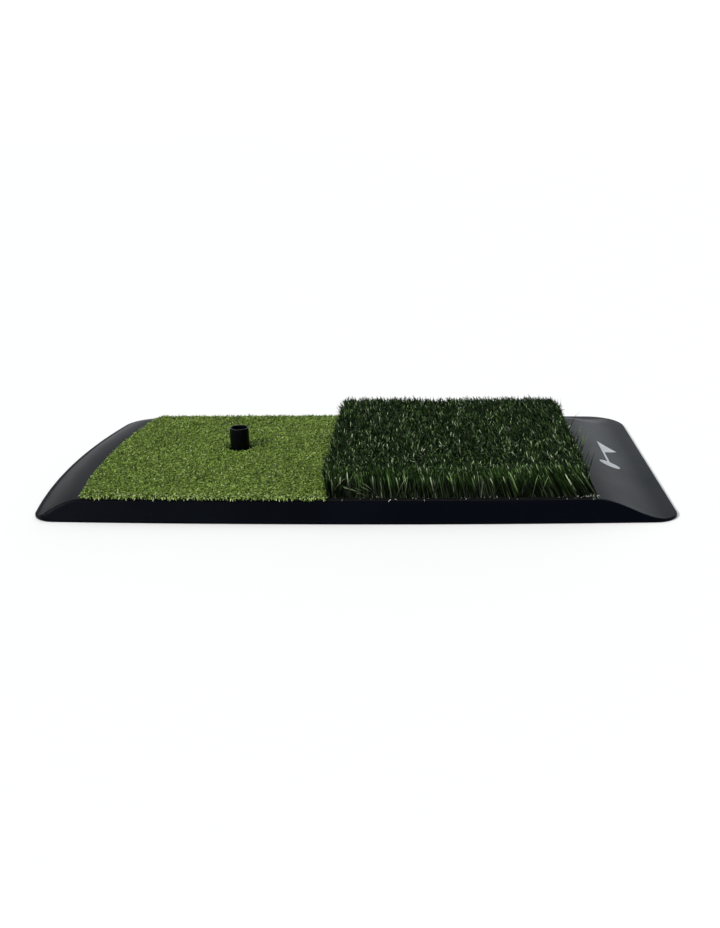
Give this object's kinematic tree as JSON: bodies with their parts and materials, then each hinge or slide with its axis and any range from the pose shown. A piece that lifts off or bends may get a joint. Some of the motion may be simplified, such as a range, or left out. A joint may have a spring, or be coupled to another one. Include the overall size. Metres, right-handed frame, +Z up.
{
  "type": "golf hitting mat",
  "caption": "Golf hitting mat: moulded rubber base with sloping margins, short fairway turf, tall rough turf and a hollow rubber tee pushed up from below.",
  "frame": {"origin": "on the floor, under the middle of the base's outline", "axes": "+X along the mat from the curved fairway end to the straight rough end, +Y from the steep front wall to the sloping back margin, +Z up"},
  "size_m": [0.64, 0.38, 0.048],
  "materials": {
    "base_rubber": "satin moulded",
    "tee_rubber": "smooth satin",
    "tape": "adhesive sheet",
    "backing": "latex coated weave",
    "fairway_fibre": "short curled pile",
    "rough_fibre": "tall upright pile",
    "ink": "printed"
  },
  "bodies": {
    "mat": {"base_tray": "base_rubber", "fairway_tape": "tape", "fairway_backing": "backing", "fairway_pile": "fairway_fibre", "rough_tape": "tape", "rough_backing": "backing", "rough_pile": "rough_fibre", "flag_print": "ink"},
    "tee": {"rubber_tee": "tee_rubber"}
  },
  "joints": [
    {"name": "tee_pull", "type": "slide", "parent": "mat", "child": "tee", "axis": [0, 0, -1], "range_m": [0, 0.055]}
  ]
}
